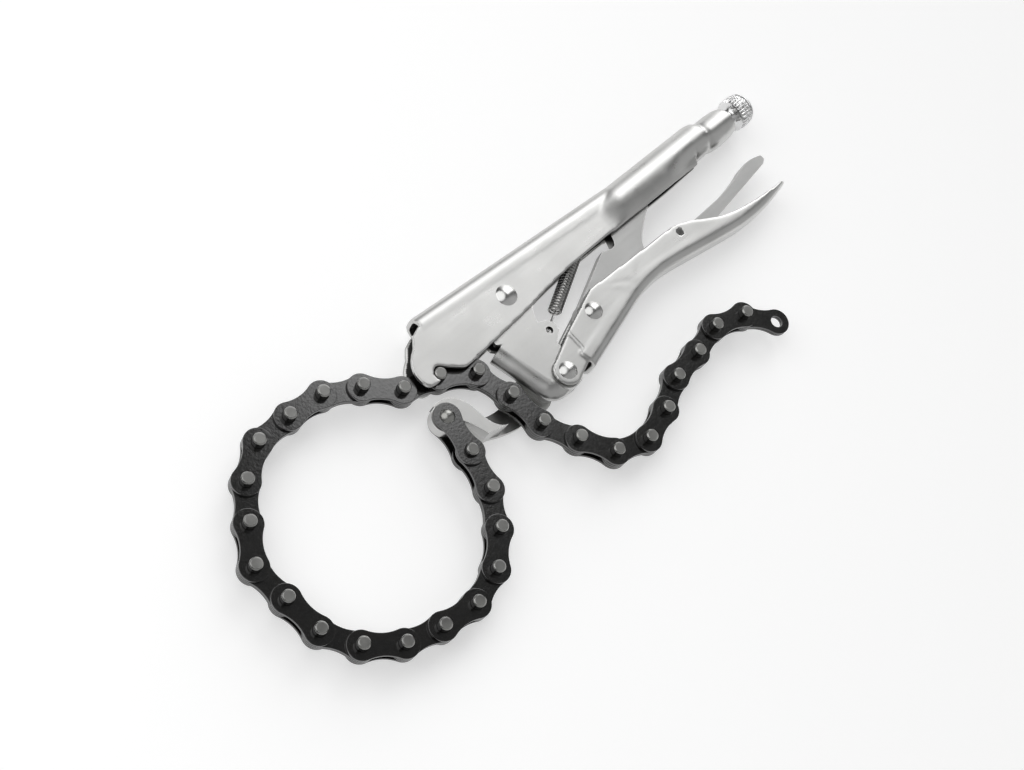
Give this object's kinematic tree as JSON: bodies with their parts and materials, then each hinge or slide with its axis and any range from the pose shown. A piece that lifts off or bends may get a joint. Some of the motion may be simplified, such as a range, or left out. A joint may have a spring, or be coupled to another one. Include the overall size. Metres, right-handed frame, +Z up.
{
  "type": "locking chain wrench",
  "caption": "Locking pliers with a toggle lever, a release lever and an adjusting screw, whose moving jaw draws a leaf chain tight round an oil filter, can or pipe.",
  "frame": {"origin": "middle of the box over the ground plane the tool lies on", "axes": "+X along the handle from the hook to the adjusting screw, +Y from the lever towards the handle's spine, +Z up along the pivots"},
  "size_m": [0.3206, 0.1078, 0.0172],
  "materials": {
    "plated_steel": "satin bright plating on stamped steel",
    "bright_steel": "polished plating",
    "spring_wire": "drawn spring wire",
    "chain_black": "black oxide on steel plate",
    "chain_pin": "dark oiled steel"
  },
  "bodies": {
    "handle": {"fixed_handle": "plated_steel", "main_rivet": "bright_steel", "return_spring": "spring_wire"},
    "screw": {"adjusting_screw": "bright_steel"},
    "jaw": {"moving_jaw": "plated_steel"},
    "lever": {"lever": "plated_steel", "lever_rivet": "bright_steel", "toggle_rivet": "bright_steel", "release_pin": "bright_steel"},
    "toggle": {"toggle_link": "plated_steel"},
    "release": {"release_lever": "plated_steel"},
    "link_00": {"anchor_link": "chain_black", "nose_rivet": "chain_pin"},
    "link_01": {"outer_link_01": "chain_black", "link_pins_01": "chain_pin"},
    "link_02": {"inner_link_02": "chain_black"},
    "link_03": {"outer_link_03": "chain_black", "link_pins_03": "chain_pin"},
    "link_04": {"inner_link_04": "chain_black"},
    "link_05": {"outer_link_05": "chain_black", "link_pins_05": "chain_pin"},
    "link_06": {"inner_link_06": "chain_black"},
    "link_07": {"outer_link_07": "chain_black", "link_pins_07": "chain_pin"},
    "link_08": {"inner_link_08": "chain_black"},
    "link_09": {"outer_link_09": "chain_black", "link_pins_09": "chain_pin"},
    "link_10": {"inner_link_10": "chain_black"},
    "link_11": {"outer_link_11": "chain_black", "link_pins_11": "chain_pin"},
    "link_12": {"inner_link_12": "chain_black"},
    "link_13": {"outer_link_13": "chain_black", "link_pins_13": "chain_pin"},
    "link_14": {"inner_link_14": "chain_black"},
    "link_15": {"outer_link_15": "chain_black", "link_pins_15": "chain_pin"},
    "link_16": {"inner_link_16": "chain_black"},
    "link_17": {"outer_link_17": "chain_black", "link_pins_17": "chain_pin"},
    "link_18": {"inner_link_18": "chain_black"},
    "link_19": {"outer_link_19": "chain_black", "link_pins_19": "chain_pin"},
    "link_20": {"inner_link_20": "chain_black"},
    "link_21": {"outer_link_21": "chain_black", "link_pins_21": "chain_pin"},
    "link_22": {"inner_link_22": "chain_black"},
    "link_23": {"outer_link_23": "chain_black", "link_pins_23": "chain_pin"},
    "link_24": {"inner_link_24": "chain_black"},
    "link_25": {"outer_link_25": "chain_black", "link_pins_25": "chain_pin"},
    "link_26": {"inner_link_26": "chain_black"},
    "link_27": {"outer_link_27": "chain_black", "link_pins_27": "chain_pin"},
    "link_28": {"inner_link_28": "chain_black"},
    "link_29": {"outer_link_29": "chain_black", "link_pins_29": "chain_pin"},
    "link_30": {"inner_link_30": "chain_black"}
  },
  "joints": [
    {"name": "screw_turn", "type": "hinge", "parent": "handle", "child": "screw", "pos_m": [0.10627, 0.03282, 0.00925], "axis": [1, 0, 0], "continuous": true},
    {"name": "jaw_hinge", "type": "hinge", "parent": "handle", "child": "jaw", "pos_m": [-0.00373, 0.03222, 0.00925], "axis": [0, 0, 1], "range_deg": [0, 8.1], "deforming": ["return_spring"]},
    {"name": "lever_hinge", "type": "hinge", "parent": "jaw", "child": "lever", "pos_m": [-0.00633, -0.00598, 0.00925], "axis": [0, 0, -1], "range_deg": [0, 36]},
    {"name": "toggle_hinge", "type": "hinge", "parent": "lever", "child": "toggle", "pos_m": [0.02157, 0.00542, 0.00925], "axis": [0, 0, 1], "range_deg": [0, 42]},
    {"name": "release_hinge", "type": "hinge", "parent": "lever", "child": "release", "pos_m": [0.08077, 0.00722, 0.00925], "axis": [0, 0, -1], "range_deg": [0, 8]},
    {"name": "chain_joint_00", "type": "hinge", "parent": "jaw", "child": "link_00", "pos_m": [-0.05863, 0.01072, 0.00925], "axis": [0, 0, 1], "range_deg": [-1.9, 0]},
    {"name": "chain_joint_01", "type": "hinge", "parent": "link_00", "child": "link_01", "pos_m": [-0.06111, -0.00496, 0.00925], "axis": [0, 0, 1], "range_deg": [-1.9, 0]},
    {"name": "chain_joint_02", "type": "hinge", "parent": "link_01", "child": "link_02", "pos_m": [-0.06522, -0.02029, 0.00925], "axis": [0, 0, 1], "range_deg": [-1.8, 0]},
    {"name": "chain_joint_03", "type": "hinge", "parent": "link_02", "child": "link_03", "pos_m": [-0.07387, -0.03361, 0.00925], "axis": [0, 0, 1], "range_deg": [-1.5, 0]},
    {"name": "chain_joint_04", "type": "hinge", "parent": "link_03", "child": "link_04", "pos_m": [-0.08603, -0.04381, 0.00925], "axis": [0, 0, 1], "range_deg": [-1.2, 0]},
    {"name": "chain_joint_05", "type": "hinge", "parent": "link_04", "child": "link_05", "pos_m": [-0.10129, -0.04818, 0.00925], "axis": [0, 0, 1], "range_deg": [0, 0.8]},
    {"name": "chain_joint_06", "type": "hinge", "parent": "link_05", "child": "link_06", "pos_m": [-0.11701, -0.04598, 0.00925], "axis": [0, 0, 1], "range_deg": [0, 0.8]},
    {"name": "chain_joint_07", "type": "hinge", "parent": "link_06", "child": "link_07", "pos_m": [-0.13219, -0.04133, 0.00925], "axis": [0, 0, 1], "range_deg": [0, 0.8]},
    {"name": "chain_joint_08", "type": "hinge", "parent": "link_07", "child": "link_08", "pos_m": [-0.1447, -0.03156, 0.00925], "axis": [0, 0, 1], "range_deg": [0, 0.8]},
    {"name": "chain_joint_09", "type": "hinge", "parent": "link_08", "child": "link_09", "pos_m": [-0.15263, -0.01781, 0.00925], "axis": [0, 0, 1], "range_deg": [0, 0.8]},
    {"name": "notch_seat_loop", "type": "hinge", "parent": "handle", "child": "link_18", "pos_m": [-0.04903, 0.02482, 0.00925], "axis": [0, 0, 1], "range_deg": [0, 2.1]},
    {"name": "chain_joint_18", "type": "hinge", "parent": "link_18", "child": "link_17", "pos_m": [-0.06422, 0.02941, 0.00925], "axis": [0, 0, 1], "range_deg": [0, 1.8]},
    {"name": "chain_joint_17", "type": "hinge", "parent": "link_17", "child": "link_16", "pos_m": [-0.07617, 0.03987, 0.00925], "axis": [0, 0, 1], "range_deg": [0, 1.6]},
    {"name": "chain_joint_16", "type": "hinge", "parent": "link_16", "child": "link_15", "pos_m": [-0.09031, 0.04708, 0.00925], "axis": [0, 0, 1], "range_deg": [0, 1.3]},
    {"name": "chain_joint_15", "type": "hinge", "parent": "link_15", "child": "link_14", "pos_m": [-0.10615, 0.04818, 0.00925], "axis": [0, 0, 1], "range_deg": [0, 1]},
    {"name": "chain_joint_14", "type": "hinge", "parent": "link_14", "child": "link_13", "pos_m": [-0.12201, 0.04763, 0.00925], "axis": [0, 0, 1], "range_deg": [0, 0.8]},
    {"name": "chain_joint_13", "type": "hinge", "parent": "link_13", "child": "link_12", "pos_m": [-0.13548, 0.03922, 0.00925], "axis": [0, 0, 1], "range_deg": [-0.8, 0]},
    {"name": "chain_joint_12", "type": "hinge", "parent": "link_12", "child": "link_11", "pos_m": [-0.14547, 0.02688, 0.00925], "axis": [0, 0, 1], "range_deg": [-0.8, 0]},
    {"name": "chain_joint_11", "type": "hinge", "parent": "link_11", "child": "link_10", "pos_m": [-0.15457, 0.01388, 0.00925], "axis": [0, 0, 1], "range_deg": [-0.8, 0]},
    {"name": "notch_seat_tail", "type": "hinge", "parent": "handle", "child": "link_19", "pos_m": [-0.04903, 0.02482, 0.00925], "axis": [0, 0, 1], "range_deg": [-4, 1]},
    {"name": "chain_joint_20", "type": "hinge", "parent": "link_19", "child": "link_20", "pos_m": [-0.03542, 0.01665, 0.00925], "axis": [0, 0, 1], "range_deg": [0, 8.1]},
    {"name": "chain_joint_21", "type": "hinge", "parent": "link_20", "child": "link_21", "pos_m": [-0.03104, 0.00139, 0.00925], "axis": [0, 0, 1], "range_deg": [-2.1, 0]},
    {"name": "chain_joint_22", "type": "hinge", "parent": "link_21", "child": "link_22", "pos_m": [-0.02938, -0.0144, 0.00925], "axis": [0, 0, 1], "range_deg": [-12.1, 0]},
    {"name": "chain_joint_23", "type": "hinge", "parent": "link_22", "child": "link_23", "pos_m": [-0.02193, -0.02842, 0.00925], "axis": [0, 0, 1], "range_deg": [-8.1, 0]},
    {"name": "chain_joint_24", "type": "hinge", "parent": "link_23", "child": "link_24", "pos_m": [-0.01352, -0.04188, 0.00925], "axis": [0, 0, 1], "range_deg": [-8.1, 0]},
    {"name": "chain_joint_25", "type": "hinge", "parent": "link_24", "child": "link_25", "pos_m": [0.00158, -0.04679, 0.00925], "axis": [0, 0, 1], "range_deg": [-6.1, 0]},
    {"name": "chain_joint_26", "type": "hinge", "parent": "link_25", "child": "link_26", "pos_m": [0.01698, -0.04295, 0.00925], "axis": [0, 0, 1], "range_deg": [-20, 4]},
    {"name": "chain_joint_27", "type": "hinge", "parent": "link_26", "child": "link_27", "pos_m": [0.03137, -0.03624, 0.00925], "axis": [0, 0, 1], "range_deg": [-20, 4]},
    {"name": "chain_joint_28", "type": "hinge", "parent": "link_27", "child": "link_28", "pos_m": [0.04716, -0.03458, 0.00925], "axis": [0, 0, 1], "range_deg": [-20, 4]},
    {"name": "chain_joint_29", "type": "hinge", "parent": "link_28", "child": "link_29", "pos_m": [0.06274, -0.03155, 0.00925], "axis": [0, 0, 1], "range_deg": [-20, 10]},
    {"name": "chain_joint_30", "type": "hinge", "parent": "link_29", "child": "link_30", "pos_m": [0.078, -0.03592, 0.00925], "axis": [0, 0, 1], "range_deg": [-25, 20]}
  ],
  "couplings": [
    {"joint": "jaw_hinge", "follows": "lever_hinge", "ratio": 0.22222},
    {"joint": "toggle_hinge", "follows": "lever_hinge", "ratio": 1.163},
    {"joint": "chain_joint_00", "follows": "lever_hinge", "ratio": -0.05082},
    {"joint": "chain_joint_01", "follows": "lever_hinge", "ratio": -0.0502},
    {"joint": "chain_joint_02", "follows": "lever_hinge", "ratio": -0.04677},
    {"joint": "chain_joint_03", "follows": "lever_hinge", "ratio": -0.03953},
    {"joint": "chain_joint_04", "follows": "lever_hinge", "ratio": -0.03021},
    {"joint": "chain_joint_05", "follows": "lever_hinge", "ratio": 0.02},
    {"joint": "chain_joint_06", "follows": "lever_hinge", "ratio": 0.02},
    {"joint": "chain_joint_07", "follows": "lever_hinge", "ratio": 0.02},
    {"joint": "chain_joint_08", "follows": "lever_hinge", "ratio": 0.02},
    {"joint": "chain_joint_09", "follows": "lever_hinge", "ratio": 0.02},
    {"joint": "notch_seat_loop", "follows": "lever_hinge", "ratio": 0.05571},
    {"joint": "chain_joint_18", "follows": "lever_hinge", "ratio": 0.04842},
    {"joint": "chain_joint_17", "follows": "lever_hinge", "ratio": 0.04266},
    {"joint": "chain_joint_16", "follows": "lever_hinge", "ratio": 0.03422},
    {"joint": "chain_joint_15", "follows": "lever_hinge", "ratio": 0.02441},
    {"joint": "chain_joint_14", "follows": "lever_hinge", "ratio": 0.02},
    {"joint": "chain_joint_13", "follows": "lever_hinge", "ratio": -0.02},
    {"joint": "chain_joint_12", "follows": "lever_hinge", "ratio": -0.02},
    {"joint": "chain_joint_11", "follows": "lever_hinge", "ratio": -0.02},
    {"joint": "chain_joint_20", "follows": "lever_hinge", "ratio": 0.22222},
    {"joint": "chain_joint_21", "follows": "lever_hinge", "ratio": -0.05556},
    {"joint": "chain_joint_22", "follows": "lever_hinge", "ratio": -0.33333},
    {"joint": "chain_joint_23", "follows": "lever_hinge", "ratio": -0.22222},
    {"joint": "chain_joint_24", "follows": "lever_hinge", "ratio": -0.22222},
    {"joint": "chain_joint_25", "follows": "lever_hinge", "ratio": -0.16667}
  ]
}
